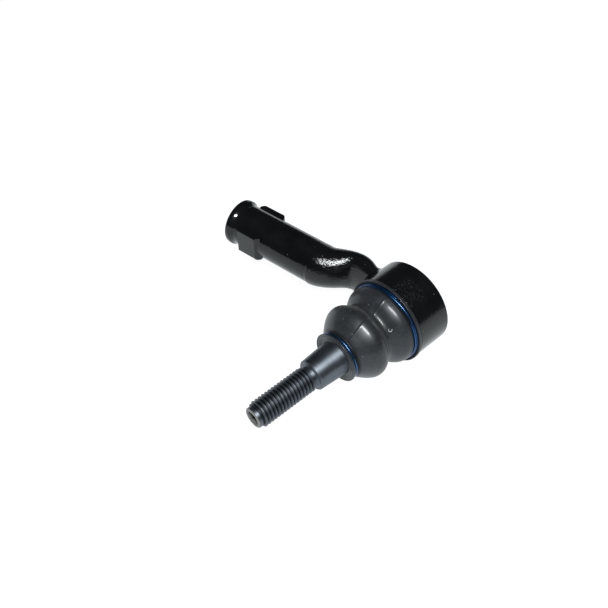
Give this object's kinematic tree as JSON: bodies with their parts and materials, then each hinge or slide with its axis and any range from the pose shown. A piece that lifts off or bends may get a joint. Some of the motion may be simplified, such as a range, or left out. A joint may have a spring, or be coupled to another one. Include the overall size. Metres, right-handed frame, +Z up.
{
  "type": "tie rod end",
  "caption": "Outer tie rod end: ball joint with a tapered, threaded stud, a rubber dust boot held by wire rings, and an S-bent tube threaded inside for the tie rod.",
  "frame": {"origin": "centre of the ball, the point that the stud pivots about", "axes": "+Y along the stud towards its threaded tip, +X across the stud towards the tube's open end, +Z up with the part lying on its side, so that the stud and the tube lie level"},
  "size_m": [0.1233, 0.0986, 0.0428],
  "materials": {
    "painted_steel": "glossy black paint over forged steel",
    "stud_steel": "dark blue-grey coated steel with fine turning marks",
    "boot_rubber": "dark grey matt rubber",
    "blue_wire": "blue coated spring wire, glossy",
    "bearing_plastic": "off-white acetal bearing plastic",
    "spring_steel": "plain spring steel",
    "cover_steel": "black coated pressed steel"
  },
  "bodies": {
    "housing": {"housing": "painted_steel", "front_bearing_seat": "bearing_plastic", "rear_bearing_seat": "bearing_plastic", "preload_spring": "spring_steel", "closing_cover": "cover_steel", "large_clamp_ring": "blue_wire"},
    "boot": {"dust_boot": "boot_rubber"},
    "boot_collar": {"small_clamp_ring": "blue_wire", "boot_support_ring": "cover_steel"},
    "ball_stud": {"ball_stud": "stud_steel"}
  },
  "joints": [
    {"name": "stud_swing", "type": "hinge", "parent": "housing", "child": "boot", "pos_m": [0, 0, 0], "axis": [0, 0, 1], "range_deg": [-20, 20], "deforming": ["dust_boot"]},
    {"name": "stud_tilt", "type": "hinge", "parent": "boot", "child": "boot_collar", "pos_m": [0, 0, 0], "axis": [1, 0, 0], "range_deg": [-20, 20]},
    {"name": "stud_spin", "type": "hinge", "parent": "boot_collar", "child": "ball_stud", "pos_m": [0, 0, 0], "axis": [0, 1, 0], "continuous": true}
  ]
}
